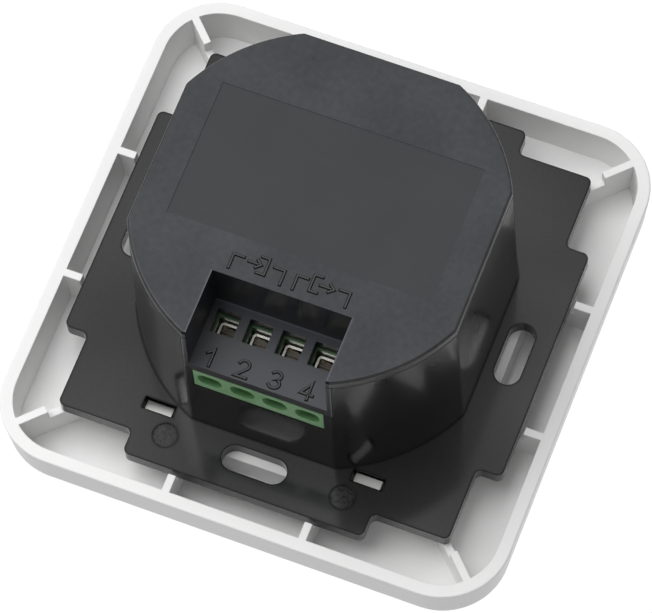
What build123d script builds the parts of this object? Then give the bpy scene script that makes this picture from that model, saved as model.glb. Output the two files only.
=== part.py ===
from build123d import *
import os
from math import tan, radians, sqrt

os.makedirs("parts", exist_ok=True)

# In-wall switch for a 60 mm wall box, in millimetres.
# It is modelled lying on its front: Z runs into the wall, Z = 0 is the plate's back face (the wall plane),
# -Y is the terminal side, and the origin is the centre of the 60 mm screw slots.
# upright() then stands it up as it hangs on a wall: front towards -Y, terminals towards +Z.

# Support plate, one moulding with the housing
plate_frame_gap = 3.32
plate_tab_width = 38.2
plate_corner_step = 3.9
plate_thick = 2.5
plate_corner_r = 1.0
screw_slot_spacing = 60.0
screw_slot_length = 10.2
screw_slot_width = 4.1
hook_slot_spacing_x = 33.3
hook_slot_spacing_y = 52.7
hook_slot_length = 5.0
hook_slot_width = 1.9
hook_ledge = 0.55
hook_ledge_depth = 1.3
gate_mark_spacing_x = 28.2
gate_mark_y = 30.25
gate_mark_dia = 3.9
gate_mark_depth = 0.12

# Housing
housing_depth = 31.0
housing_dia = 55.8
side_flat_cut = 2.5
blind_flat_cut = 2.8
terminal_flat_cut = 2.4
housing_corner_r = 0.8
housing_draft = 1.6
housing_wall = 1.4
front_wall = 1.3
seam_chamfer = 0.2

# Rear cover
cover_thick = 1.7
cover_edge_r = 0.5
cover_lip_height = 2.2
cover_lip_wall = 1.1
cover_fit = 0.12
notch_width = 21.5
notch_reach = 10.65
notch_cheek = 0.8
notch_back_wall = 1.0
label_plate_z = 20.8
label_plate_thick = 1.8
window_width = 3.7
window_height = 3.85
window_inset = 7.4
window_shift_x = -0.43
label_field_width = 40.8
label_field_height = 22.1
label_field_y = 2.45
label_field_depth = 0.12

# Terminals
poles = 4
pole_pitch = 5.08
terminal_shift_x = -0.1
block_front_gap = 0.2
block_depth = 10.3
block_height = 9.5
pole_inset = 7.1
cut_out_z = 13.3
cut_out_play = 0.1
clamp_pocket_play = 0.1
wire_hole_r = 1.4
wire_hole_z = 13.4
mouth_width = 3.8
mouth_height = 3.0
mouth_corner_r = 1.3
mouth_depth = 4.6
mouth_rise = 2.9
clamp_width = 3.9
clamp_plate = 0.7
clamp_wire_width = 2.9
clamp_top_plate = 0.8
collar_width = 3.3
collar_wall = 0.375
collar_corner_r = 0.65
collar_height = 1.5
collar_opening = 3.7
screw_turns = 3.5
screw_pitch = 0.45
tongue_thick = 0.7
tongue_width = 2.3
tongue_play = 0.1
screw_r = 1.2
screw_play = 0.06
screw_stand = 0.95
screw_slot_cut = 0.5
screw_slot_depth = 0.5

# Frame
frame_span = 80.64
frame_corner_r = 10.7
frame_wall = 2.0
frame_wall_draft = 4.3
frame_rim_gap = 0.4
frame_depth = 9.2
frame_skin = 2.0
frame_front_r = 2.4
frame_rim_r = 0.25
window_span = 55.4
window_wall = 1.6
window_lip = 0.8
window_lip_thick = 1.5
window_corner_r = 1.0
rib_offset = 10.85
rib_thick = 1.2
rib_gap_to_plate = 0.6
rib_clearance_under = 0.3
corner_rib_gap = 1.3

# Rocker carrier, the inner ring that clamps the frame to the plate
carrier_play = 0.35
carrier_wall = 2.05
carrier_front_z = 6.4
carrier_lip_play = 0.2
hook_width = 4.2
hook_thick = 0.95
hook_play = 0.2
hook_recess = 0.8

# Rocker
rocker_play = 0.4
rocker_proud = 0.4
rocker_skin = 1.6
rocker_edge_r = 0.9
rocker_skirt = 1.0
rocker_skirt_wall = 1.2
rocker_rib = 1.0
rocker_rib_height = 0.9
hinge_y = 23.4
hinge_z = 5.2
hinge_pin_r = 1.0
hinge_play = 0.05
hinge_arm_x = 19.7
hinge_arm_thick = 1.6
hinge_arm_half = 1.5
hinge_pin_length = 2.2
ear_play = 0.3
ear_thick = 1.6
ear_half = 1.7
rocker_stem_r = 1.6
stem_gap = 0.1
keeper_x = 10.0
keeper_width = 3.0
keeper_thick = 1.1
keeper_side_play = 0.25
keeper_barb = 0.6
keeper_barb_height = 0.8
keeper_rest_gap = 0.15
keeper_window_z = 5.2
keeper_window_play = 0.4

# Push-button switch behind the rocker
tact_width = 6.0
tact_height = 3.4
tact_window_play = 0.4
tact_corner_r = 0.5
plunger_r = 1.75
plunger_play = 0.05
plunger_out = 2.6
plunger_seat = 0.4
plunger_well = 1.0

# Circuit boards, laid out for a housing of layout_dia and drawn in or out with it
layout_dia = 55.8
layout = housing_dia / layout_dia
control_board_width = 46.4 * layout
control_board_height = 24.0 * layout
control_board_thick = 1.2
control_board_z = 1.5
power_board_thick = 1.6
board_top_z = 9.2
board_edge_play = 0.35
board_corner_r = 2.0
upper_post_x = 19.2 * layout
upper_post_y = 14.6 * layout
lower_post_x = 13.9 * layout
lower_post_y = 19.9 * layout
post_r = 1.9
boss_x = 18.5 * layout
boss_y = 8.5 * layout
board_screw_r = 0.9
board_screw_play = 0.06
board_screw_head_r = 1.8
board_screw_head = 1.3
power_screw_length = 6.5
control_screw_length = 4.2
board_screw_hole_play = 0.2
screw_cross_length = 2.0
screw_cross_width = 0.5
screw_cross_depth = 0.6
header_x = -21.6 * layout
header_pins = 5
header_spacing = 2.54
header_width = 2.5
pin_side = 0.64
pin_hole_r = 0.52
pin_stick_out = 0.8

# Parts on the power board: each size is width along X, height along Y and depth along Z
relay_size = (15.5 * layout, 19.0 * layout, 15.3)
relay_at = (11.8 * layout, 2.0 * layout)
relay_edge_r = 0.4
core_size = (13.0 * layout, 6.4 * layout, 12.6)
core_at = (-8.5 * layout, 13.0 * layout)
core_leg = 2.6 * layout
bobbin_flange = (9.6 * layout, 11.8 * layout, 0.8)
bobbin_winding_r = 4.2 * layout
bulk_cap_r = 4.0 * layout
bulk_cap_height = 12.5
bulk_cap_at = (-16.0 * layout, -3.0 * layout)
small_cap_r = 3.15 * layout
small_cap_height = 11.0
small_cap_at = (-5.0 * layout, 2.0 * layout)
can_edge_r = 0.5
can_vent_width = 0.3
can_vent_depth = 0.2
film_cap_size = (13.0 * layout, 5.0 * layout, 11.0)
film_cap_at = (5.0 * layout, 18.2 * layout)
film_cap_edge_r = 0.5
varistor_r = 4.6 * layout
varistor_thick = 3.8 * layout
varistor_gap = 0.1
varistor_y = -11.5 * layout
varistor_edge_r = 0.9
varistor_lead_r = 0.4
varistor_lead_spacing = 5.0 * layout
varistor_lead_length = 1.6
fuse_r = 4.25 * layout
fuse_height = 8.0
fuse_at = (15.4 * layout, -12.3 * layout)
choke_r = 3.6 * layout
choke_height = 8.5
choke_flange = 1.0
choke_waist = 0.7
choke_at = (-4.4 * layout, -6.0 * layout)
radio_size = (18.0 * layout, 12.0 * layout, 0.8)
radio_at = (-7.0 * layout, 2.0 * layout)
shield_size = (12.5 * layout, 10.5 * layout, 2.0)
shield_shift = 2.0
shield_edge_r = 0.3
chip_size = (7.0, 7.0, 1.0)
chip_at = (10.0 * layout, 4.0 * layout)

# Places that follow from the sizes above
plate_span = frame_span - 2 * (frame_wall + plate_frame_gap)
plate_corner_span = plate_span - 2 * plate_corner_step
housing_side_flats = housing_dia - 2 * side_flat_cut
housing_blind_flat = housing_dia / 2 - blind_flat_cut
housing_terminal_flat = housing_dia / 2 - terminal_flat_cut
notch_wall_y = housing_terminal_flat - notch_reach
window_y = housing_terminal_flat - window_inset
pole_y = housing_terminal_flat - pole_inset
varistor_at = (terminal_shift_x - poles * pole_pitch / 2 - varistor_gap - varistor_r, varistor_y)
seam_z = housing_depth - cover_thick
cavity_floor_z = front_wall - plate_thick
frame_rim_z = -frame_rim_gap
frame_front_z = frame_rim_z - frame_depth
frame_floor_z = frame_front_z + frame_skin
window_half = window_span / 2
window_lip_z = -plate_thick - window_lip_thick
rocker_front_z = frame_front_z - rocker_proud
rocker_skin_z = rocker_front_z + rocker_skin
label_plate_low_z = label_plate_z - label_plate_thick
wire_space = screw_turns * screw_pitch + tongue_play
clamp_low_z = wire_hole_z - wire_space / 2 - clamp_plate
tongue_low_z = wire_hole_z + wire_space / 2
tongue_top_z = tongue_low_z + tongue_thick
clamp_thread_z = tongue_top_z + tongue_play
clamp_shelf_z = clamp_thread_z + clamp_top_plate
clamp_top_z = clamp_shelf_z + collar_height
pocket_top_z = clamp_shelf_z + screw_turns * screw_pitch + tongue_play
screw_top_z = clamp_shelf_z + screw_stand
plunger_tip_z = control_board_z - tact_height - plunger_out
power_board_low_z = board_top_z - power_board_thick
control_board_top_z = control_board_z + control_board_thick


def upright(shape):
    """The part as it hangs on the wall: Z into the wall becomes +Y, the terminal side becomes the top."""
    return shape.rotate(Axis.X, -90)


def save(shape, node):
    shape.label = node
    export_step(upright(shape), "parts/" + node + ".step")


def span_box(x0, x1, y0, y1, z0, z1):
    """A box between two corners."""
    return Pos((x0 + x1) / 2, (y0 + y1) / 2, (z0 + z1) / 2) * Box(x1 - x0, y1 - y0, z1 - z0)


def rod(radius, x, y, z0, z1):
    """A round bar along Z."""
    return Pos(x, y, (z0 + z1) / 2) * Cylinder(radius, z1 - z0)


def drafted_square(span, corner_r, z_top, depth, draft):
    """A rounded square that narrows towards the front."""
    return extrude(Plane.XY.offset(z_top) * RectangleRounded(span, span, corner_r),
                   amount=depth, dir=(0, 0, -1), taper=draft)


def pole_places():
    """The middle of each terminal in X."""
    first = terminal_shift_x - (poles - 1) * pole_pitch / 2
    return [first + i * pole_pitch for i in range(poles)]


def housing_section(z, inset):
    """The housing's round outline with its four flats, at height z, drawn in by inset."""
    drafted = (housing_depth - z) * tan(radians(housing_draft))
    grow = drafted - inset
    half_x = housing_side_flats / 2 + grow
    low_y = -housing_terminal_flat - grow
    high_y = housing_blind_flat + grow
    square = Pos(0, (low_y + high_y) / 2) * Rectangle(2 * half_x, high_y - low_y)
    outline = Circle(housing_dia / 2 + grow) & square
    return Plane.XY.offset(z) * fillet(outline.vertices(), housing_corner_r + drafted)


def housing_block(z0, z1, inset):
    """The solid inside the housing's outline between two heights, with the mould's draft."""
    return extrude(housing_section(z0, inset), amount=z1 - z0, dir=(0, 0, 1), taper=housing_draft)


def power_posts():
    return [(s * upper_post_x, upper_post_y) for s in (-1, 1)] + \
           [(s * lower_post_x, -lower_post_y) for s in (-1, 1)]


def control_bosses():
    return [(boss_x, -boss_y), (-boss_x, boss_y)]


def header_places():
    return [(header_x, (i - (header_pins - 1) / 2) * header_spacing) for i in range(header_pins)]


# Support plate with the housing's body
def plate_outline():
    cross = Rectangle(plate_span, plate_tab_width) + Rectangle(plate_tab_width, plate_span)
    outline = cross + Rectangle(plate_corner_span, plate_corner_span)
    return fillet(outline.vertices(), plate_corner_r)


def terminal_opening():
    """The gap in the terminal flat: the wire entries, and above them the seat of the cover's notch."""
    half_block = poles * pole_pitch / 2 + cut_out_play
    half_notch = notch_width / 2 + notch_cheek + cover_fit / 2
    reach_y = housing_dia
    entries = span_box(terminal_shift_x - half_block, terminal_shift_x + half_block,
                       -reach_y, -lower_post_y, cut_out_z, housing_depth)
    notch_seat = span_box(-half_notch, half_notch, -reach_y, -lower_post_y,
                          label_plate_low_z - cover_fit / 2, housing_depth)
    return entries + notch_seat


def support_plate():
    plate = extrude(plate_outline(), amount=-plate_thick)
    shell = housing_block(0, seam_z, 0)
    shell = chamfer(shell.edges().group_by(Axis.Z)[-1], seam_chamfer)
    body = plate + shell - housing_block(cavity_floor_z, seam_z, housing_wall)
    for x, y in power_posts():
        body += rod(post_r, x, y, cavity_floor_z, power_board_low_z)
        body -= rod(board_screw_r + board_screw_play, x, y, cavity_floor_z, power_board_low_z)
    for x, y in control_bosses():
        body += rod(post_r, x, y, cavity_floor_z, control_board_z)
        body -= rod(board_screw_r + board_screw_play, x, y, cavity_floor_z, control_board_z)
    body -= terminal_opening()
    tact_window = tact_width + 2 * tact_window_play
    body -= Box(tact_window, tact_window, 3 * plate_thick)
    slot = extrude(SlotOverall(screw_slot_length, screw_slot_width), amount=plate_thick, both=True)
    for turn in range(4):
        body -= Rot(0, 0, 90 * turn) * Pos(0, screw_slot_spacing / 2, 0) * slot
    inner_y = hook_slot_spacing_y / 2 - hook_slot_width / 2
    outer_y = hook_slot_spacing_y / 2 + hook_slot_width / 2
    half_long = hook_slot_length / 2
    hook_slot = span_box(-half_long, half_long, inner_y, outer_y - hook_ledge, -plate_thick, 0)
    hook_slot += span_box(-half_long, half_long, inner_y, outer_y, -hook_ledge_depth, 0)
    for side in (-1, 1):
        for turn in (0, 180):
            body -= Rot(0, 0, turn) * Pos(side * hook_slot_spacing_x / 2, 0, 0) * hook_slot
        body -= rod(gate_mark_dia / 2, side * gate_mark_spacing_x / 2, -gate_mark_y, -gate_mark_depth, 0)
    return body


# Rear cover with the sunken terminal notch
def rear_cover():
    lid = housing_block(seam_z, housing_depth, 0)
    lid = fillet(lid.edges().group_by(Axis.Z)[-1], cover_edge_r)
    lid = chamfer(lid.edges().group_by(Axis.Z)[0], seam_chamfer)
    lip_low_z = seam_z - cover_lip_height
    inset = housing_wall + cover_fit
    lip = housing_block(lip_low_z, seam_z, inset) - housing_block(lip_low_z, seam_z, inset + cover_lip_wall)
    half_outer = notch_width / 2 + notch_cheek
    back_y = -notch_wall_y + notch_back_wall
    insert = span_box(-half_outer, half_outer, -housing_dia, back_y, label_plate_low_z, seam_z)
    insert &= housing_block(0, housing_depth, 0)
    cover = lid + lip + insert
    notch = span_box(-notch_width / 2, notch_width / 2, -housing_dia, -notch_wall_y,
                     label_plate_z, housing_depth)
    cover -= notch
    for x in pole_places():
        window_x = x - terminal_shift_x + window_shift_x
        window = Box(window_width, window_height, 3 * label_plate_thick)
        cover -= Pos(window_x, -window_y, label_plate_z) * window
    cover -= span_box(-label_field_width / 2, label_field_width / 2,
                      label_field_y - label_field_height / 2, label_field_y + label_field_height / 2,
                      housing_depth - label_field_depth, housing_depth)
    return cover


# Terminal block
def terminal_flat_y(z):
    """The outer face of the housing's terminal flat at height z."""
    return -(housing_terminal_flat + (housing_depth - z) * tan(radians(housing_draft)))


def terminal_block():
    """The block stands behind the wall, and its nose fills the wall's cut-out, flush with the flat."""
    half = poles * pole_pitch / 2
    top_z = board_top_z + block_height
    front_y = terminal_flat_y(label_plate_low_z)
    body_y = terminal_flat_y(top_z) + housing_wall + block_front_gap
    block = span_box(terminal_shift_x - half, terminal_shift_x + half, body_y, body_y + block_depth,
                     board_top_z, top_z)
    block += span_box(terminal_shift_x - half, terminal_shift_x + half, front_y, body_y,
                      cut_out_z + cut_out_play, top_z)
    pocket = clamp_width + 2 * clamp_pocket_play
    pocket_back = -pole_y + pocket / 2
    mouth_outer = Plane.XZ.offset(-front_y) * Pos(0, wire_hole_z + mouth_rise) * \
        RectangleRounded(mouth_width, mouth_height, mouth_corner_r)
    mouth_inner = Plane.XZ.offset(-front_y - mouth_depth) * Pos(0, wire_hole_z) * \
        RectangleRounded(2 * wire_hole_r, 2 * wire_hole_r, wire_hole_r * 0.9)
    mouth = loft([mouth_outer, mouth_inner])
    hole_start_y = front_y + mouth_depth
    wire_hole = Pos(0, (hole_start_y - pole_y) / 2, wire_hole_z) * Rot(90, 0, 0) * \
        Cylinder(wire_hole_r, -pole_y - hole_start_y)
    for x in pole_places():
        block -= span_box(x - pocket / 2, x + pocket / 2, -pole_y - pocket / 2, pocket_back,
                          board_top_z, pocket_top_z)
        block -= Pos(x, -pole_y, pocket_top_z) * Box(collar_opening, collar_opening, block_height)
        block -= span_box(x - tongue_width / 2 - tongue_play, x + tongue_width / 2 + tongue_play,
                          pocket_back, pocket_back + tongue_thick + tongue_play,
                          board_top_z, tongue_top_z + tongue_play)
        block -= Pos(x, 0, 0) * wire_hole
        block -= Pos(x, 0, 0) * mouth
    return block


def terminal_contacts():
    """Four bent tongues: a leg on the board, and the bar that the wire is pressed against."""
    leg_y = -pole_y + clamp_width / 2 + clamp_pocket_play
    bar_y = -pole_y - clamp_width / 2
    contacts = []
    for x in pole_places():
        x0 = x - tongue_width / 2
        x1 = x + tongue_width / 2
        leg = span_box(x0, x1, leg_y, leg_y + tongue_thick, board_top_z, tongue_top_z)
        contacts.append(leg + span_box(x0, x1, bar_y, leg_y, tongue_low_z, tongue_top_z))
    return Compound(children=contacts)


def terminal_screw(x):
    """A slotted clamp screw without a head: its tip bears on the contact's bar, its top is in the collar."""
    screw = rod(screw_r, x, -pole_y, tongue_top_z, screw_top_z)
    return screw - Pos(x, -pole_y, screw_top_z) * Box(4 * screw_r, screw_slot_cut, 2 * screw_slot_depth)


def terminal_clamp(x):
    """The lifting cage: wire window, threaded shelf, and a collar that guides the screwdriver."""
    half = clamp_width / 2
    cage = span_box(x - half, x + half, -pole_y - half, -pole_y + half, clamp_low_z, clamp_shelf_z)
    cage -= span_box(x - clamp_wire_width / 2, x + clamp_wire_width / 2, -pole_y - clamp_width,
                     -pole_y + clamp_width, clamp_low_z + clamp_plate, clamp_thread_z)
    cage -= rod(screw_r + screw_play, x, -pole_y, clamp_thread_z, clamp_shelf_z)
    inner = collar_width - 2 * collar_wall
    shelf = Plane.XY.offset(clamp_shelf_z) * Pos(x, -pole_y)
    outline = RectangleRounded(collar_width, collar_width, collar_corner_r)
    hollow = RectangleRounded(inner, inner, collar_corner_r - collar_wall)
    collar = extrude(shelf * outline, amount=collar_height)
    collar -= extrude(shelf * hollow, amount=collar_height)
    return cage + collar


# Frame
def frame_cover():
    cavity_span = frame_span - 2 * frame_wall
    body = drafted_square(frame_span, frame_corner_r, frame_rim_z, frame_depth, frame_wall_draft)
    body = fillet(body.edges().group_by(Axis.Z)[0], frame_front_r)
    body = fillet(body.edges().group_by(Axis.Z)[-1], frame_rim_r)
    cavity = drafted_square(cavity_span, frame_corner_r - frame_wall, frame_rim_z,
                            frame_depth - frame_skin, frame_wall_draft)
    body -= cavity
    wall_half = window_half + window_wall
    body += span_box(-wall_half, wall_half, -wall_half, wall_half, frame_floor_z, -plate_thick)
    rib_zone = drafted_square(cavity_span + frame_wall, frame_corner_r - frame_wall / 2, frame_rim_z,
                              frame_depth - frame_skin, frame_wall_draft)
    body += frame_ribs() & rib_zone
    window = extrude(Plane.XY.offset(frame_front_z) * RectangleRounded(window_span, window_span,
                                                                       window_corner_r),
                     amount=window_lip_z - frame_front_z)
    lip_span = window_span - 2 * window_lip
    return body - window - Pos(0, 0, -plate_thick) * Box(lip_span, lip_span, 4 * window_lip_thick)


def frame_ribs():
    """Two ribs a side and one in each corner, high outside the plate and stepped down under it."""
    under_z = -plate_thick - rib_clearance_under
    half_t = rib_thick / 2
    wall_half = window_half + window_wall / 2
    side_step = plate_span / 2 + rib_gap_to_plate
    corner_step = (plate_corner_span / 2 + corner_rib_gap) * sqrt(2)
    ribs = []
    for turn in range(4):
        for side in (-1, 1):
            low = span_box(side * rib_offset - half_t, side * rib_offset + half_t,
                           wall_half, frame_span / 2, frame_floor_z, under_z)
            high = span_box(side * rib_offset - half_t, side * rib_offset + half_t,
                            side_step, frame_span / 2, frame_floor_z, frame_rim_z)
            ribs.append(Rot(0, 0, 90 * turn) * (low + high))
        low = span_box(-half_t, half_t, wall_half * sqrt(2), frame_span * sqrt(2) / 2,
                       frame_floor_z, under_z)
        high = span_box(-half_t, half_t, corner_step, frame_span * sqrt(2) / 2, frame_floor_z, frame_rim_z)
        ribs.append(Rot(0, 0, 45 + 90 * turn) * (low + high))
    return Part() + ribs


# Rocker carrier
def carrier_inner_half():
    return window_half - carrier_play - carrier_wall


def rocker_carrier():
    outer = 2 * (window_half - carrier_play)
    neck = window_span - 2 * window_lip - 2 * carrier_lip_play
    inner = 2 * carrier_inner_half()
    ring = span_box(-outer / 2, outer / 2, -outer / 2, outer / 2, -carrier_front_z, window_lip_z)
    ring = fillet(ring.edges().filter_by(Axis.Z), window_corner_r)
    ring += span_box(-neck / 2, neck / 2, -neck / 2, neck / 2, window_lip_z, -plate_thick)
    ring -= span_box(-inner / 2, inner / 2, -inner / 2, inner / 2, -2 * carrier_front_z, 0)
    for side in (-1, 1):
        for turn in (0, 180):
            ring += Rot(0, 0, turn) * Pos(side * hook_slot_spacing_x / 2, 0, 0) * carrier_hook()
        ring += carrier_ear(side)
        keeper_half = keeper_width / 2 + keeper_window_play
        ring -= span_box(side * keeper_x - keeper_half, side * keeper_x + keeper_half,
                         inner / 2 - keeper_barb, inner / 2 + keeper_barb, -keeper_window_z, -plate_thick)
    return ring


def carrier_hook():
    """A snap hook that lies in the plate's slot and catches its ledge, below the back face."""
    inner_y = hook_slot_spacing_y / 2 - hook_slot_width / 2 + hook_play
    barb_y = hook_slot_spacing_y / 2 + hook_slot_width / 2 - hook_play
    half = hook_width / 2
    leg = span_box(-half, half, inner_y, inner_y + hook_thick, -plate_thick, -hook_recess)
    barb = span_box(-half, half, inner_y, barb_y, -hook_ledge_depth, -hook_recess)
    return leg + barb


def carrier_ear(side):
    """A bearing eye for the rocker's pin."""
    near_x = hinge_arm_x + hinge_arm_thick / 2 + ear_play
    x0, x1 = sorted((side * near_x, side * (near_x + ear_thick)))
    ear = span_box(x0, x1, -carrier_inner_half(), -hinge_y + ear_half, -hinge_z - ear_half, -plate_thick)
    hole = Pos((x0 + x1) / 2, -hinge_y, -hinge_z) * Rot(0, 90, 0) * \
        Cylinder(hinge_pin_r + hinge_play, 2 * ear_thick)
    return ear - hole


# Rocker
def rocker():
    span = window_span - 2 * rocker_play
    inner = span - 2 * rocker_skirt_wall
    cap = extrude(Plane.XY.offset(rocker_front_z) * RectangleRounded(span, span, window_corner_r),
                  amount=rocker_skin + rocker_skirt)
    cap = fillet(cap.edges().group_by(Axis.Z)[0], rocker_edge_r)
    cap -= Pos(0, 0, rocker_skin_z + rocker_skirt) * Box(inner, inner, 2 * rocker_skirt)
    rib_top_z = rocker_skin_z + rocker_rib_height
    for x in (-hinge_arm_x, hinge_arm_x):
        cap += span_box(x - rocker_rib / 2, x + rocker_rib / 2, -inner / 2, inner / 2,
                        rocker_skin_z, rib_top_z)
        cap += hinge_arm(x)
    for y in (-hinge_y / 2, 0, hinge_y / 2):
        cap += span_box(-inner / 2, inner / 2, y - rocker_rib / 2, y + rocker_rib / 2,
                        rocker_skin_z, rib_top_z)
    for x in (-keeper_x, keeper_x):
        cap += keeper(x)
    tip_z = plunger_tip_z - stem_gap
    stem = rod(rocker_stem_r, 0, 0, rocker_skin_z, tip_z)
    return cap + fillet(stem.edges().group_by(Axis.Z)[-1], rocker_stem_r / 2)


def hinge_arm(x):
    """An arm with its moulded pin, which snaps into the carrier's ear."""
    side = 1 if x > 0 else -1
    arm = span_box(x - hinge_arm_thick / 2, x + hinge_arm_thick / 2, -hinge_y - hinge_arm_half,
                   -hinge_y + hinge_arm_half, rocker_skin_z, -hinge_z + hinge_arm_half)
    pin_x = x + side * (hinge_arm_thick + hinge_pin_length) / 2
    pin = Pos(pin_x, -hinge_y, -hinge_z) * Rot(0, 90, 0) * Cylinder(hinge_pin_r, hinge_pin_length)
    return arm + pin


def keeper(x):
    """A hook at the free end, which holds the rocker at rest under the carrier's edge."""
    wall_y = carrier_inner_half()
    leg_y = wall_y - keeper_side_play
    barb_z = -keeper_window_z + keeper_rest_gap
    half = keeper_width / 2
    leg = span_box(x - half, x + half, leg_y - keeper_thick, leg_y,
                   rocker_skin_z, barb_z + keeper_barb_height)
    barb = span_box(x - half, x + half, leg_y, wall_y + keeper_barb - keeper_side_play,
                    barb_z, barb_z + keeper_barb_height)
    return leg + barb


# Push-button switch
def tact_switch():
    front_z = control_board_z - tact_height
    body = span_box(-tact_width / 2, tact_width / 2, -tact_width / 2, tact_width / 2,
                    front_z, control_board_z)
    body = fillet(body.edges().filter_by(Axis.Z), tact_corner_r)
    return body - rod(plunger_r + plunger_play, 0, 0, front_z, front_z + plunger_well)


def tact_plunger():
    front_z = control_board_z - tact_height
    return rod(plunger_r, 0, 0, plunger_tip_z, front_z + plunger_seat)


# Circuit boards
def control_board():
    board = extrude(Plane.XY.offset(control_board_z) *
                    RectangleRounded(control_board_width, control_board_height, board_corner_r),
                    amount=control_board_thick)
    for x, y in control_bosses():
        board -= rod(board_screw_r + board_screw_hole_play, x, y, control_board_z, control_board_top_z)
    for x, y in header_places():
        board -= rod(pin_hole_r, x, y, control_board_z, control_board_top_z)
    return board


def power_board():
    board = housing_block(power_board_low_z, board_top_z, housing_wall + board_edge_play)
    for x, y in power_posts():
        board -= rod(board_screw_r + board_screw_hole_play, x, y, power_board_low_z, board_top_z)
    for x, y in header_places():
        board -= rod(pin_hole_r, x, y, power_board_low_z, board_top_z)
    return board


def board_header():
    """Square pins in a plastic strip, from the control board up through the power board."""
    places = header_places()
    half = header_pins * header_spacing / 2
    strip = span_box(header_x - header_width / 2, header_x + header_width / 2, -half, half,
                     control_board_top_z, power_board_low_z)
    for x, y in places:
        strip += span_box(x - pin_side / 2, x + pin_side / 2, y - pin_side / 2, y + pin_side / 2,
                          control_board_z - pin_stick_out, board_top_z + pin_stick_out)
    return strip


def board_screws(places, seat_z, length):
    """Self-tapping screws with a cross recess, one for each place."""
    screws = []
    for x, y in places:
        head = rod(board_screw_head_r, x, y, seat_z, seat_z + board_screw_head)
        head = fillet(head.edges().group_by(Axis.Z)[-1], board_screw_head / 2)
        cross = Box(screw_cross_length, screw_cross_width, 2 * screw_cross_depth) + \
            Box(screw_cross_width, screw_cross_length, 2 * screw_cross_depth)
        head -= Pos(x, y, seat_z + board_screw_head) * cross
        screws.append(head + rod(board_screw_r, x, y, seat_z - length, seat_z))
    return Compound(children=screws)


# Parts on the boards
def on_board(size, place, z, edge_r):
    """A moulded box that stands on a board, with its upright edges rounded."""
    width, height, depth = size
    box = Pos(place[0], place[1], z + depth / 2) * Box(width, height, depth)
    return fillet(box.edges().filter_by(Axis.Z), edge_r)


def can(radius, height, place):
    """An electrolytic capacitor's can with its scored vent."""
    body = rod(radius, place[0], place[1], board_top_z, board_top_z + height)
    body = fillet(body.edges().group_by(Axis.Z)[-1], can_edge_r)
    top = Pos(place[0], place[1], board_top_z + height)
    vent = Box(radius, can_vent_width, 2 * can_vent_depth) + Box(can_vent_width, radius, 2 * can_vent_depth)
    return body - top * vent


def transformer_core():
    """Two E cores, closed round the bobbin: a rectangular frame with the middle leg through it."""
    width, height, depth = core_size
    middle_z = board_top_z + depth / 2
    core = Pos(core_at[0], core_at[1], middle_z) * Box(width, height, depth)
    window_half_x = (width - 2 * core_leg) / 2
    core -= Pos(core_at[0], core_at[1], middle_z) * Box(2 * window_half_x, 2 * height, depth - 2 * core_leg)
    return core


def transformer_bobbin():
    """The winding between two flanges, inside the core's window."""
    flange_x, flange_y, flange_t = bobbin_flange
    low_z = board_top_z + core_leg
    high_z = board_top_z + core_size[2] - core_leg
    width = min(flange_x, core_size[0] - 2 * core_leg)
    place = Pos(core_at[0], core_at[1], 0)
    bobbin = place * span_box(-width / 2, width / 2, -flange_y / 2, flange_y / 2, low_z, low_z + flange_t)
    bobbin += place * span_box(-width / 2, width / 2, -flange_y / 2, flange_y / 2,
                               high_z - flange_t, high_z)
    winding_r = min(bobbin_winding_r, width / 2)
    return bobbin + place * rod(winding_r, 0, 0, low_z, high_z)


def varistor():
    """A coated disc on two short leads."""
    disc_z = board_top_z + varistor_lead_length + varistor_r
    disc = Rot(90, 0, 0) * Cylinder(varistor_r, varistor_thick)
    disc = Pos(varistor_at[0], varistor_at[1], disc_z) * disc
    disc = fillet(disc.edges(), varistor_edge_r)
    for side in (-1, 1):
        x = varistor_at[0] + side * varistor_lead_spacing / 2
        disc += rod(varistor_lead_r, x, varistor_at[1], board_top_z, disc_z)
    return disc


def choke():
    """A drum core: two flanges with the winding between them."""
    x, y = choke_at
    top_z = board_top_z + choke_height
    drum = rod(choke_r - choke_waist, x, y, board_top_z, top_z)
    drum += rod(choke_r, x, y, board_top_z, board_top_z + choke_flange)
    return drum + rod(choke_r, x, y, top_z - choke_flange, top_z)


def radio_module():
    """The radio's small board with its shield can, and the bare antenna end beside it."""
    board = Pos(radio_at[0], radio_at[1], control_board_top_z + radio_size[2] / 2) * Box(*radio_size)
    can_z = control_board_top_z + radio_size[2]
    return board + on_board(shield_size, (radio_at[0] + shield_shift, radio_at[1]), can_z, shield_edge_r)


save(support_plate(), "support_plate")
save(rear_cover(), "rear_cover")
save(terminal_block(), "terminal_block")
save(terminal_contacts(), "terminal_contacts")
for number, pole_x in enumerate(pole_places(), start=1):
    save(terminal_screw(pole_x), f"terminal_screw_{number}")
    save(terminal_clamp(pole_x), f"terminal_clamp_{number}")
save(frame_cover(), "frame_cover")
save(rocker_carrier(), "rocker_carrier")
save(rocker(), "rocker")
save(tact_switch(), "tact_switch")
save(tact_plunger(), "tact_plunger")
save(control_board(), "control_board")
save(power_board(), "power_board")
save(board_header(), "board_header")
save(board_screws(power_posts(), board_top_z, power_screw_length), "power_board_screws")
save(board_screws(control_bosses(), control_board_top_z, control_screw_length - control_board_thick),
     "control_board_screws")
save(on_board(relay_size, relay_at, board_top_z, relay_edge_r), "relay")
save(transformer_core(), "transformer_core")
save(transformer_bobbin(), "transformer_bobbin")
save(can(bulk_cap_r, bulk_cap_height, bulk_cap_at), "bulk_capacitor")
save(can(small_cap_r, small_cap_height, small_cap_at), "output_capacitor")
save(on_board(film_cap_size, film_cap_at, board_top_z, film_cap_edge_r), "film_capacitor")
save(varistor(), "varistor")
save(rod(fuse_r, fuse_at[0], fuse_at[1], board_top_z, board_top_z + fuse_height), "fuse")
save(choke(), "choke")
save(radio_module(), "radio_module")
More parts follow.
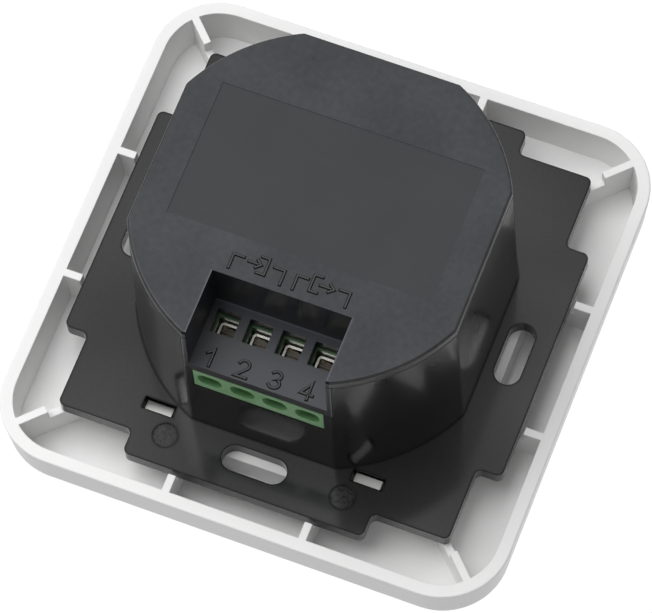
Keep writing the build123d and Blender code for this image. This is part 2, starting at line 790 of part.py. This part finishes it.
save(on_board(chip_size, chip_at, control_board_top_z, shield_edge_r), "processor_chip")
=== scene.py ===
import math

import bmesh
import bpy
from mathutils import Matrix, Vector


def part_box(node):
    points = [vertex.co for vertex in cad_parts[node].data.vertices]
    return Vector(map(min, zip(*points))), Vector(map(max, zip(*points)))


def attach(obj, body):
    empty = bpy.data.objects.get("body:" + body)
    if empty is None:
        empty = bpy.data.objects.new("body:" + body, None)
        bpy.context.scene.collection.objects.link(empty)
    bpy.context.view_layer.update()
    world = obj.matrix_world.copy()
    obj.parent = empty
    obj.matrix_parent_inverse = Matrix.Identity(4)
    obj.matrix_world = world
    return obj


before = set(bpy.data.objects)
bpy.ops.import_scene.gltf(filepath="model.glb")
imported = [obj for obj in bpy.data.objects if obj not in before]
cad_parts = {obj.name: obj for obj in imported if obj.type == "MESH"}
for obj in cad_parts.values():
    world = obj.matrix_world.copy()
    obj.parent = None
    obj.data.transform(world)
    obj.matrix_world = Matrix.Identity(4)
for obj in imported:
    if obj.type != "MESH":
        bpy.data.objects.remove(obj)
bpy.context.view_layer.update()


# Support plate and housing
# One moulding in gloss black plastic, with the soft waves that it took as it shrank in the mould.
# Its two round gate marks keep the turned pattern of the mould's inserts.
class Finish:
    """One value in a material's nodes. Sums of such values are written as plain expressions."""

    def __init__(self, tree, socket=None):
        self.tree = tree
        self.socket = socket

    def node(self, kind, settings=None, sockets=None, output=0):
        """Adds a node: its settings first, then a value or a link for each socket."""
        made = self.tree.nodes.new("ShaderNode" + kind)
        for name, value in (settings or {}).items():
            setattr(made, name, value)
        for name, value in (sockets or {}).items():
            if isinstance(value, Finish):
                self.tree.links.new(value.socket, made.inputs[name])
            else:
                made.inputs[name].default_value = value
        return Finish(self.tree, made.outputs[output] if made.outputs else None)

    def reckon(self, operation, first, second):
        return self.node("Math", {"operation": operation}, {0: first, 1: second})

    def __add__(self, other):
        return self.reckon("ADD", self, other)

    def __radd__(self, other):
        return self.reckon("ADD", other, self)

    def __sub__(self, other):
        return self.reckon("SUBTRACT", self, other)

    def __rsub__(self, other):
        return self.reckon("SUBTRACT", other, self)

    def __mul__(self, other):
        return self.reckon("MULTIPLY", self, other)

    def __rmul__(self, other):
        return self.reckon("MULTIPLY", other, self)

    def __truediv__(self, other):
        return self.reckon("DIVIDE", self, other)

    def __gt__(self, other):
        return self.reckon("GREATER_THAN", self, other)

    def __lt__(self, other):
        return self.reckon("LESS_THAN", self, other)

    def __abs__(self):
        return self.reckon("ABSOLUTE", self, 0.0)


def begin(name, roughness, metallic=0.0):
    """A new material: its shader, and the place on the surface in metres as three values."""
    made = bpy.data.materials.new(name)
    made.use_nodes = True
    skin = made.node_tree.nodes["Principled BSDF"]
    skin.inputs["Roughness"].default_value = roughness
    skin.inputs["Metallic"].default_value = metallic
    place = Finish(made.node_tree).node("TexCoord", output="Object")
    return made, skin, place


def feed(skin, **values):
    """Links values to the shader's sockets, with _ for a blank in a socket's name."""
    for name, value in values.items():
        value.tree.links.new(value.socket, skin.inputs[name.replace("_", " ")])


def speckle(place, size, detail=2.0):
    """Noise from 0 to 1 with lumps of about that size in metres."""
    lump_share = 0.5
    return place.node("TexNoise", None, {"Vector": place, "Scale": lump_share / size, "Detail": detail})


def coordinate(place, axis):
    """One of the three values of a place: X, Y or Z."""
    return place.node("SeparateXYZ", None, {0: place}, axis)


def facing_back(place):
    """From -1 on a face that looks to the front to 1 on a face that looks to the back."""
    return coordinate(place.node("TexCoord", output="Normal"), "Y")


def shade_between(value, low, high):
    """The colour between two colours, by a value from 0 to 1."""
    return value.node("Mix", {"data_type": "RGBA"}, {0: value, 6: (*low, 1.0), 7: (*high, 1.0)}, 2)


def rounded_edges(value, edge_r):
    """The surface's direction, turned gradually across each sharp edge."""
    return value.node("Bevel", {"samples": 6}, {"Radius": edge_r})


def relief(height, depth, edge_r=0.0):
    """The surface's direction over heights from 0 to 1 that stand for that depth, with rounded edges."""
    sockets = {"Height": height, "Distance": depth}
    if edge_r:
        sockets["Normal"] = rounded_edges(height, edge_r)
    return height.node("Bump", None, sockets)


def edge_share(place, edge_r):
    """From 0 on a flat to 1 beside a sharp edge, falling off within about half that distance."""
    plain = place.node("NewGeometry", output="Normal")
    rounded = rounded_edges(place, edge_r)
    alike = place.node("VectorMath", {"operation": "DOT_PRODUCT"}, {0: plain, 1: rounded}, "Value")
    steep = 20.0
    return place.node("Math", {"operation": "MULTIPLY", "use_clamp": True}, {0: 1 - alike, 1: steep})


def paint(node, material):
    """Gives a CAD node its finish."""
    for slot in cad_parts[node].material_slots:
        slot.material = material


gate_marks_x = 0.0141
gate_marks_z = 0.03025
gate_mark_r = 0.00195
gate_rim_share = 0.84
flat_from = 0.93
plate_black, skin, place = begin("plate_black", roughness=0.3)
skin.inputs["Specular IOR Level"].default_value = 0.1
skin.inputs["Coat Roughness"].default_value = 0.12
wave = speckle(place, 0.011, detail=1.0)
smudge = speckle(place, 0.0045)
bloom = speckle(place, 0.013, detail=1.5)
dust = speckle(place, 0.0003)
from_mark_x = abs(coordinate(place, "X")) - gate_marks_x
from_mark_z = coordinate(place, "Z") - gate_marks_z
from_mark_squared = from_mark_x * from_mark_x + from_mark_z * from_mark_z
on_mark = from_mark_squared < gate_mark_r ** 2
on_rim = on_mark * (from_mark_squared > (gate_mark_r * gate_rim_share) ** 2)
turned = speckle(place, 0.00022, detail=0.0)
on_flat = facing_back(place) > flat_from
turned_height = on_mark * (turned - 0.5)
# Painted shade: a dark line along the edges of the flat faces, darker in colour and with less coat.
edge = on_flat * edge_share(place, edge_r=0.0005)
tone_and_painted_light = on_flat * (dust * 0.6 + smudge * 0.4) + turned_height * 2.2 - on_rim * 0.6 - edge
swell = wave * 0.5 + dust * 0.012 + turned_height * 0.9 - on_rim * 0.4
feed(skin,
     Base_Color=shade_between(tone_and_painted_light, (0.0012, 0.0012, 0.0014), (0.0165, 0.0169, 0.0184)),
     Roughness=0.24 + smudge * 0.1 + on_mark * turned * 0.3,
     Coat_Weight=(0.7 + on_flat * (0.17 + (bloom - 0.45) * 1.3) - smudge * 0.1) * (1 - edge * 0.9),
     Normal=relief(swell, depth=0.00012, edge_r=0.0001))
paint("support_plate", plate_black)


# Power board, its header and screws
# A glass-fibre board cut to the housing: green lacquer over copper, held on the posts by four screws.
# The pins of the black header carry the low voltage forward to the control board.
def laminate(name, dark, light):
    """Woven board with a net of tracks that stand out a little under the lacquer."""
    made, skin, place = begin(name, roughness=0.38)
    weave = place.node("TexBrick", {"offset": 0.5}, {
        "Vector": place, "Color1": (0, 0, 0, 1), "Color2": (1, 1, 1, 1), "Mortar": (0.5, 0.5, 0.5, 1),
        "Scale": 260.0, "Mortar Size": 0.06, "Brick Width": 0.5, "Row Height": 0.3}, "Fac")
    track_from = 0.53
    tracks = speckle(place, 0.0024, detail=0.0) > track_from
    feed(skin,
         Base_Color=shade_between(tracks * 0.8 + speckle(place, 0.0008) * 0.2, dark, light),
         Roughness=0.3 + weave * 0.15,
         Normal=relief(tracks * 0.8 + weave * 0.2, depth=0.00003))
    return made


def pressed_metal(name, dull, bright, roughness, grain, depth):
    """Bent or turned metal with a fine grain and larger stains."""
    grains_a_stain = 8
    made, skin, place = begin(name, roughness, metallic=1.0)
    stain = speckle(place, grain * grains_a_stain)
    fine = speckle(place, grain)
    feed(skin,
         Base_Color=shade_between(stain * 0.7 + fine * 0.3, dull, bright),
         Roughness=roughness - 0.06 + stain * 0.12,
         Normal=relief(fine * 0.5 + stain * 0.5, depth, edge_r=0.00006))
    return made


def moulded(name, dark, light, roughness, grain, depth, edge_r=0.0001):
    """Plain moulded plastic with a fine grain and larger clouds."""
    grains_a_cloud = 22
    made, skin, place = begin(name, roughness)
    fine = speckle(place, grain)
    cloud = speckle(place, grain * grains_a_cloud)
    feed(skin,
         Base_Color=shade_between(fine * 0.4 + cloud * 0.6, dark, light),
         Roughness=roughness - 0.05 + cloud * 0.1,
         Normal=relief(fine * 0.7 + cloud * 0.3, depth, edge_r))
    return made


board_laminate = laminate("board_laminate", (0.008, 0.085, 0.03), (0.02, 0.17, 0.06))
header_black = moulded("header_black", (0.011, 0.011, 0.012), (0.02, 0.02, 0.021),
                       roughness=0.42, grain=0.0001, depth=0.00001)
small_screw_steel = pressed_metal("small_screw_steel", (0.42, 0.42, 0.43), (0.66, 0.66, 0.67),
                                  roughness=0.3, grain=0.00012, depth=0.000008)
paint("power_board", board_laminate)
paint("board_header", header_black)
paint("power_board_screws", small_screw_steel)


# Relay, transformer and choke
# The relay is a sealed box with a vent nib; the transformer is a ferrite core round a taped winding.
# The choke is wound on a small drum and covered with shrink sleeve.
relay_case = moulded("relay_case", (0.012, 0.013, 0.015), (0.022, 0.023, 0.026),
                     roughness=0.3, grain=0.00018, depth=0.000012)
ferrite = moulded("ferrite", (0.028, 0.028, 0.03), (0.06, 0.06, 0.063),
                  roughness=0.62, grain=0.00012, depth=0.00003)
choke_sleeve = moulded("choke_sleeve", (0.014, 0.014, 0.016), (0.03, 0.03, 0.032),
                       roughness=0.36, grain=0.0002, depth=0.00001)
winding_tape, skin, place = begin("winding_tape", roughness=0.4)
lap = place.node("TexWave", {"bands_direction": "Y"},
                 {"Vector": place, "Scale": 120.0, "Distortion": 0.4})
feed(skin,
     Base_Color=shade_between(lap * 0.5 + speckle(place, 0.0006) * 0.5,
                              (0.5, 0.26, 0.015), (0.72, 0.42, 0.03)),
     Roughness=0.34 + lap * 0.14,
     Normal=relief(lap, depth=0.00002))
paint("relay", relay_case)
paint("transformer_core", ferrite)
paint("transformer_bobbin", winding_tape)
paint("choke", choke_sleeve)


# Capacitors, varistor and fuse
# Two aluminium cans in printed sleeves, a yellow film box, a blue dipped disc and a moulded fuse.
# Each sleeve has its pale minus stripe down one side.
capacitor_sleeve, skin, place = begin("capacitor_sleeve", roughness=0.28)
bulk_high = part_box("bulk_capacitor")[1]
output_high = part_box("output_capacitor")[1]
bulk_stripe_half = 0.0013
output_stripe_half = 0.001
bare_top = 0.0004
x = coordinate(place, "X")
y = coordinate(place, "Y")
bulk_stripe = (abs(x - bulk_high.x) < bulk_stripe_half) * (y < bulk_high.y - bare_top)
output_stripe = (abs(x - output_high.x) < output_stripe_half) * (y < output_high.y - bare_top)
crinkle = speckle(place, 0.0009)
feed(skin,
     Base_Color=shade_between(bulk_stripe + output_stripe, (0.012, 0.014, 0.02), (0.5, 0.5, 0.48)),
     Roughness=0.22 + crinkle * 0.16,
     Normal=relief(crinkle, depth=0.00002))
film_capacitor_case = moulded("film_capacitor_case", (0.5, 0.31, 0.012), (0.62, 0.4, 0.02),
                              roughness=0.4, grain=0.00015, depth=0.00001)
varistor_coating = moulded("varistor_coating", (0.016, 0.05, 0.22), (0.03, 0.09, 0.33),
                           roughness=0.3, grain=0.0004, depth=0.00004)
fuse_case = moulded("fuse_case", (0.06, 0.02, 0.012), (0.1, 0.034, 0.02),
                    roughness=0.34, grain=0.00018, depth=0.00001)
paint("bulk_capacitor", capacitor_sleeve)
paint("output_capacitor", capacitor_sleeve)
paint("film_capacitor", film_capacitor_case)
paint("varistor", varistor_coating)
paint("fuse", fuse_case)


# Control board with the radio module and processor
# A second board behind the plate carries a shielded radio module and the processor in black epoxy.
# Two more screws hold it on its bosses.
shield_can = pressed_metal("shield_can", (0.46, 0.46, 0.45), (0.7, 0.7, 0.69),
                           roughness=0.26, grain=0.00015, depth=0.00001)
chip_epoxy = moulded("chip_epoxy", (0.01, 0.01, 0.011), (0.02, 0.02, 0.022),
                     roughness=0.55, grain=0.00008, depth=0.000008)
paint("control_board", board_laminate)
paint("control_board_screws", small_screw_steel)
paint("radio_module", shield_can)
paint("processor_chip", chip_epoxy)


# Push-button switch
# A black body behind the rocker, with a white plunger that clicks after a quarter of a millimetre.
# Its contacts sit on the front of the control board.
switch_body_black = moulded("switch_body_black", (0.012, 0.012, 0.013), (0.024, 0.024, 0.026),
                            roughness=0.36, grain=0.0001, depth=0.00001)
plunger_white = moulded("plunger_white", (0.7, 0.7, 0.68), (0.8, 0.8, 0.78),
                        roughness=0.34, grain=0.0001, depth=0.000008)
paint("tact_switch", switch_body_black)
paint("tact_plunger", plunger_white)


# Terminal block
# Green polyamide with four wire funnels. Its nose is painted paler as painted light, and the rest of the
# block darker as painted shade.
# It stands behind the wall's cut-out and shows below the sunken notch.
terminal_green, skin, place = begin("terminal_green", roughness=0.36)
skin.inputs["Coat Weight"].default_value = 0.5
nose_depth = 0.0034
nose_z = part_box("terminal_block")[1].z - nose_depth
# Painted light: the nose is painted pale green, and the rest of the block dark green as painted shade.
nose_painted_lit = coordinate(place, "Z") > nose_z
cloud = speckle(place, 0.0014)
feed(skin,
     Base_Color=shade_between(nose_painted_lit * 0.72 + cloud * 0.28,
                              (0.018, 0.045, 0.018), (0.236, 0.465, 0.225)),
     Roughness=0.3 + cloud * 0.12,
     Normal=relief(speckle(place, 0.00014) * 0.4 + cloud * 0.6, depth=0.000016, edge_r=0.0001))
paint("terminal_block", terminal_green)


# Clamps, screws and contact tongues
# Each cage is folded from nickelled steel, and its slotted screw raises it, wire and all, to the tongue.
# Stamping leaves fine lines. The collar's rim is painted bright as a painted highlight, and the rest of
# the cage dark as painted shade.
clamp_steel, skin, place = begin("clamp_steel", roughness=0.24, metallic=1.0)
collar_rim = 0.0003
collar_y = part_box("terminal_clamp_1")[1].y - collar_rim
rim_from = 0.6
# Painted highlight on the collar's rim; the rest of the cage is painted dark as painted shade.
collar_painted_highlight = (facing_back(place) > rim_from) * (coordinate(place, "Y") > collar_y)
stamped = place.node("TexWave", {"bands_direction": "X"},
                     {"Vector": place, "Scale": 900.0, "Distortion": 1.5})
stain = speckle(place, 0.0009)
feed(skin,
     Base_Color=shade_between(collar_painted_highlight * 0.85 + stain * 0.15, (0.17, 0.155, 0.12), (0.92, 0.9, 0.84)),
     Roughness=0.2 + stain * 0.12 + stamped * 0.05,
     Normal=relief(stamped * 0.04 + stain * 0.9, depth=0.000006, edge_r=0.00006))
# The terminal screws are painted very dark, as painted shade deep in their windows.
screw_steel = pressed_metal("terminal_screw_steel", (0.05, 0.044, 0.038), (0.18, 0.16, 0.135),
                            roughness=0.3, grain=0.00014, depth=0.000014)
contact_brass = pressed_metal("contact_brass", (0.55, 0.38, 0.16), (0.78, 0.58, 0.28),
                              roughness=0.28, grain=0.00015, depth=0.00001)
poles = 4
for i in range(poles):
    paint("terminal_clamp_" + str(i + 1), clamp_steel)
    paint("terminal_screw_" + str(i + 1), screw_steel)
paint("terminal_contacts", contact_brass)


# Rear cover
# Satin black plastic with the fine spark texture of its mould, left smooth where a label would go.
# The sunken notch is polished. Light and shade are painted into its colour: the sides are darker than
# the faces that look back, the sunken label plate is lighter, a dark line runs along the face's edges,
# and painted highlights sit on the notch's sharp rims, the label plate's foot and the label field's low
# step.
field_half_x = 0.0204
field_low_z = -0.0135
field_high_z = 0.0086
field_step = 0.0003
cover_face_y = 0.0306
label_below_y = 0.022
label_foot_z = 0.01515
notch_inner_x = 0.0105
notch_outer_x = 0.0113
notch_wall_z = 0.0148
notch_wall_play = 0.0002
edge_from = 0.12
cover_black, skin, place = begin("cover_black", roughness=0.45)
skin.inputs["Specular IOR Level"].default_value = 0.12
skin.inputs["Coat Roughness"].default_value = 0.34
x = coordinate(place, "X")
y = coordinate(place, "Y")
z = coordinate(place, "Z")
facing = facing_back(place)
level = facing > flat_from
sloping = facing < flat_from
by_field_x = field_half_x - abs(x)
by_field_z = (field_high_z - field_low_z) / 2 - abs(z - (field_high_z + field_low_z) / 2)
on_field = (by_field_x > 0) * (by_field_z > 0)
on_face = y > cover_face_y
# Painted highlight: the label field's low step is painted light.
painted_step_highlight = on_face * (by_field_x > -field_step) * (by_field_z > -field_step) * sloping
# Painted shade: a dark line along the face's rounded edges, with less coat.
painted_dark_face_edge = on_face * (facing > edge_from) * sloping
spark = speckle(place, 0.00017, detail=3.0)
cloud = speckle(place, 0.006)
grain = speckle(place, 0.0005)
rough = on_face * (1 - on_field * 0.85)
mottle = ((cloud - 0.5) * 0.7 + (grain - 0.5) * 0.5) * rough
on_label = level * (y < label_below_y)
in_notch = (abs(x) < notch_outer_x) * (z > notch_wall_z - notch_wall_play) * (1 - level)
on_brink = on_face * level * (abs(x) > notch_inner_x) * (abs(x) < notch_outer_x) * (z > notch_wall_z)
# Painted highlights along the notch's sharp brinks and at the label plate's foot.
painted_glint = on_brink * edge_share(place, edge_r=0.0005) + on_label * (z < label_foot_z) * 0.5
# Painted light and shade: faces that look back are painted lighter than the sides, and the sunken label
# plate lighter still.
tone_and_painted_light = (level * 0.42 + on_label * 0.35 + spark * 0.16 + cloud * 0.15
        - on_field * 0.2 - painted_dark_face_edge * 0.9 + painted_glint * 1.6)
feed(skin,
     Base_Color=shade_between(tone_and_painted_light * 0.118 + painted_step_highlight * 0.75,
                              (0.003, 0.0031, 0.0036), (0.188, 0.214, 0.276)),
     Roughness=0.3 + on_face * 0.16 + cloud * 0.06 - on_field * 0.06,
     Coat_Weight=0.68 + mottle - in_notch * 0.55 + on_label * 0.2 + painted_glint * 0.4 - painted_dark_face_edge * 0.15,
     Normal=relief(spark * rough + cloud * 0.2, depth=0.000036, edge_r=0.00008))
paint("rear_cover", cover_black)


# Raised marks on the cover
# Two brackets span the pairs of terminals, and in each an arrow goes into a box or comes out of it.
# Plain digits number the terminals. All are ribs moulded with the cover, with sloping sides.
mark_height = 0.0002
mark_sink = 0.00002
mark_slope = 0.00015
bracket_line = 0.00054
digit_line = 0.00055
bracket_spans = ((-0.00875, -0.00085), (0.0011, 0.0092))
bracket_z = 0.01145
bracket_foot_z = 0.0137
bracket_reach = 0.0016
sign_low_z = 0.0131
sign_high_z = 0.0105
arrow_half = 0.0006
digit_height = 0.0026
digit_foot_z = 0.0252
digit_places = (-0.0080, -0.0030, 0.0020, 0.0070)
label_plate_y = 0.0208
cover_y = 0.031


def mark_black_ribs(name, runs, y, line):
    """Moulded ribs of that width along runs of points (x, z), mitred where a run turns."""
    back = Vector((0, 1, 0))
    sharpest_turn = 0.35
    mesh = bpy.data.meshes.new(name)
    work = bmesh.new()
    for run in runs:
        points = [Vector((px, 0, pz)) for px, pz in run]
        steps = [(b - a).normalized() for a, b in zip(points[:-1], points[1:])]
        rings = []
        for i, point in enumerate(points):
            came = steps[max(i - 1, 0)]
            goes = steps[min(i, len(steps) - 1)]
            side = (came + goes).normalized().cross(back)
            widen = 1 / max(side.dot(came.cross(back)), sharpest_turn)
            ring = []
            for half, height in ((line / 2, -mark_sink), (line / 2 - mark_slope, mark_height),
                                 (mark_slope - line / 2, mark_height), (-line / 2, -mark_sink)):
                along = Vector()
                if i == 0:
                    along = -came * abs(half)
                elif i == len(points) - 1:
                    along = goes * abs(half)
                ring.append(work.verts.new(point + side * half * widen + along + back * (y + height)))
            rings.append(ring)
        for one, two in zip(rings[:-1], rings[1:]):
            for k in range(3):
                work.faces.new((one[k], one[k + 1], two[k + 1], two[k]))
            work.faces.new((one[3], one[0], two[0], two[3]))
        work.faces.new(rings[0][::-1])
        work.faces.new(rings[-1])
    bmesh.ops.recalc_face_normals(work, faces=work.faces)
    work.to_mesh(mesh)
    work.free()
    made = bpy.data.objects.new(name, mesh)
    bpy.context.scene.collection.objects.link(made)
    mesh.materials.append(mark_black)
    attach(made, "housing")


def arc(centre_x, centre_z, radius_x, radius_z, start_deg, end_deg, steps=10):
    """Points along an arc in a digit's own grid, anticlockwise from its right."""
    turns = [math.radians(start_deg + (end_deg - start_deg) * k / steps) for k in range(steps + 1)]
    return [(centre_x + radius_x * math.cos(t), centre_z + radius_z * math.sin(t)) for t in turns]


mark_black, skin, place = begin("mark_black", roughness=0.36)
skin.inputs["Specular IOR Level"].default_value = 0.1
# Painted shade: the ribs' sloping sides are painted near black and without coat, so that each mark shows
# a dark outline.
top_painted_lighter = facing_back(place) > flat_from
worn = speckle(place, 0.0002)
feed(skin,
     Base_Color=shade_between(top_painted_lighter * (0.7 + worn * 0.3),
                              (0.003, 0.003, 0.0032), (0.034, 0.0345, 0.0365)),
     Roughness=0.32 + worn * 0.14,
     Coat_Weight=top_painted_lighter * 0.8,
     Normal=relief(worn, depth=0.000006))
sign_middle_z = (sign_low_z + sign_high_z) / 2
brackets = []
for left, right in bracket_spans:
    brackets.append([(left, bracket_foot_z), (left, bracket_z), (left + bracket_reach, bracket_z)])
    brackets.append([(right - bracket_reach, bracket_z), (right, bracket_z), (right, bracket_foot_z)])
mark_black_ribs("pole_brackets", brackets, cover_y, bracket_line)


def flow_sign(name, mouth_x, back_x, tail_x, neck_x, barb_x, tip_x):
    """A box with an open mouth at one side, and an arrow from its tail to its tip through the mouth."""
    low = sign_middle_z - arrow_half
    high = sign_middle_z + arrow_half
    mark_black_ribs(name, [
        [(mouth_x, sign_high_z), (back_x, sign_high_z), (back_x, sign_low_z), (mouth_x, sign_low_z)],
        [(tail_x, sign_middle_z), (neck_x, sign_middle_z)],
        [(barb_x, low), (tip_x, sign_middle_z), (barb_x, high)]],
        cover_y, bracket_line)


flow_sign("way_in_sign", mouth_x=-0.0047, back_x=-0.0035,
          tail_x=-0.0063, neck_x=-0.00495, barb_x=-0.0051, tip_x=-0.0044)
flow_sign("way_out_sign", mouth_x=0.0046, back_x=0.0034,
          tail_x=0.0047, neck_x=0.00625, barb_x=0.0061, tip_x=0.0068)
digit_runs = (
    [[(-0.28, 0.72), (0.05, 1.0), (0.05, 0.0)]],
    [arc(0.0, 0.72, 0.3, 0.28, 165, -35) + [(-0.3, 0.0), (0.34, 0.0)]],
    [arc(0.0, 0.755, 0.28, 0.245, 150, -80) + arc(0.0, 0.27, 0.33, 0.27, 75, -150)],
    [[(0.12, 0.0), (0.12, 1.0), (-0.34, 0.3), (0.36, 0.3)]])
for i, runs in enumerate(digit_runs):
    placed = [[(digit_places[i] + u * digit_height, digit_foot_z - v * digit_height) for u, v in run]
              for run in runs]
    mark_black_ribs("terminal_digit_" + str(i + 1), placed, label_plate_y, digit_line)


# Frame
# The outer frame in white plastic: gloss outside, and as smooth inside its ribbed tray.
# Faint clouds in the moulding keep its white from looking flat.
frame_white, skin, place = begin("frame_white", roughness=0.3)
cloud = speckle(place, 0.009)
fine = speckle(place, 0.00035)
feed(skin,
     Base_Color=shade_between(cloud * 0.7 + fine * 0.3, (0.86, 0.86, 0.856), (0.9, 0.9, 0.896)),
     Roughness=0.28 + cloud * 0.12,
     Normal=relief(cloud * 0.7 + fine * 0.02, depth=0.00006, edge_r=0.00025))
paint("frame_cover", frame_white)


# Carrier of the rocker
# A white ring that clips through the plate's small slots and clamps the frame to the plate.
# It is a tougher, slightly warmer plastic than the frame, and its hooks are painted darker towards their
# tops and along their length, as painted shade in the slots.
hook_low_z = 0.0256
hook_high_z = 0.0271
hook_foot_y = -0.0014
hook_play = 0.0004
hook_x = 0.01665
hook_long = 0.0042
carrier_white, skin, place = begin("carrier_white", roughness=0.4)
x = coordinate(place, "X")
y = coordinate(place, "Y")
z = coordinate(place, "Z")
on_hook = (y > hook_foot_y) * (abs(z) > hook_low_z - hook_play)
# Painted shade: each hook darkens towards its top and along its length, less on the right-hand hooks.
painted_shade_ramp = (hook_high_z - abs(z)) / (hook_high_z - hook_low_z)
along_hook = (x - x.node("Math", {"operation": "SIGN"}, {0: x}) * hook_x) / hook_long
shade = on_hook * (painted_shade_ramp * (1.0 - (x > 0) * 0.55) - along_hook * 0.3)
cloud = speckle(place, 0.0048)
feed(skin,
     Base_Color=shade_between(0.6 + cloud * 0.4 - shade, (0.09, 0.09, 0.088), (0.87, 0.87, 0.85)),
     Roughness=0.35 + cloud * 0.1,
     Normal=relief(speckle(place, 0.00022) * 0.7 + cloud * 0.3, depth=0.00001, edge_r=0.0002))
paint("rocker_carrier", carrier_white)


# Rocker
# The push surface: the same white as the frame, with a matt grain so that fingerprints don't show.
# It tilts a fraction of a degree on its pins.
rocker_white = moulded("rocker_white", (0.8, 0.8, 0.796), (0.86, 0.86, 0.856),
                       roughness=0.42, grain=0.00016, depth=0.000012, edge_r=0.0002)
paint("rocker", rocker_white)


# Floor
# A plain white sweep that the switch stands on; it is white to the eye and in reflections.
# It takes a faint soft shadow and casts none, so that a lamp can stand partly below it.
floor_z = -0.0405
floor_r = 4.0
floor_sides = 96
floor_glow = 1.22
glow_share = 0.8


def on_view(seen):
    """1 for what is seen straight, in a mirror or through something clear, and 0 for what lights."""
    watched = seen.node("LightPath", output="Is Camera Ray")
    mirrored = seen.node("LightPath", output="Is Glossy Ray")
    passed = seen.node("LightPath", output="Is Transmission Ray")
    return watched + mirrored + passed


mesh = bpy.data.meshes.new("floor")
work = bmesh.new()
bmesh.ops.create_circle(work, cap_ends=True, segments=floor_sides, radius=floor_r)
work.to_mesh(mesh)
work.free()
floor = bpy.data.objects.new("floor", mesh)
floor.location.z = floor_z
floor.visible_shadow = False
bpy.context.scene.collection.objects.link(floor)
floor_white = bpy.data.materials.new("floor_white")
floor_white.use_nodes = True
floor_white.node_tree.nodes.clear()
seen = Finish(floor_white.node_tree)
cloth = seen.node("BsdfDiffuse", None, {"Color": (0.82, 0.82, 0.82, 1)})
glow = seen.node("Emission", None, {"Color": (1, 1, 1, 1), "Strength": floor_glow})
both = seen.node("MixShader", None, {0: on_view(seen) * glow_share, 1: cloth, 2: glow})
seen.node("OutputMaterial", None, {"Surface": both})
mesh.materials.append(floor_white)


# Light
# A white room: plain white where it is seen, and a level grey where it lights the object.
# A wide soft lamp stands behind at the left of the picture; a weaker one lights the front from below.
room = bpy.data.worlds.new("room")
bpy.context.scene.world = room
room.use_nodes = True
room.node_tree.nodes.clear()
seen = Finish(room.node_tree)
room_level = 0.41
room_white = seen.node("Background", None, {
    "Color": (1, 1, 1, 1), "Strength": room_level + on_view(seen) * (1 - room_level)})
seen.node("OutputWorld", None, {"Surface": room_white})
lamps = (
    ("rear_lamp", (-0.42, 0.79, -0.13), 0.95, 8.0),
    ("front_lamp", (-0.1, -0.75, -0.6), 0.5, 4.0))
for name, spot, width, power in lamps:
    lamp = bpy.data.lights.new(name, "AREA")
    lamp.shape = "SQUARE"
    lamp.size = width
    lamp.energy = power
    stand = bpy.data.objects.new(name, lamp)
    stand.location = spot
    stand.rotation_euler = (-Vector(spot)).to_track_quat("-Z", "Y").to_euler()
    bpy.context.scene.collection.objects.link(stand)


# Camera
# Behind the switch and a little above it, turned so that the terminals are at the bottom of the picture.
# A long lens, far enough away to keep the frame's sides nearly parallel.
view = bpy.data.cameras.new("view")
view.lens = 251.4
view.sensor_width = 36.0
camera = bpy.data.objects.new("camera", view)
right = Vector((0.9316, -0.0360, -0.3616))
forward = Vector((-0.1731, -0.9189, -0.3544)).normalized()
up = right.cross(forward).normalized()
right = forward.cross(up).normalized()
turn = Matrix((right, up, -forward)).transposed().to_4x4()
stands_at = Matrix.Translation((0.11909, 0.62809, 0.24481))
camera.matrix_world = stands_at @ turn
bpy.context.scene.collection.objects.link(camera)
bpy.context.scene.camera = camera
bpy.context.scene.view_settings.view_transform = "Standard"
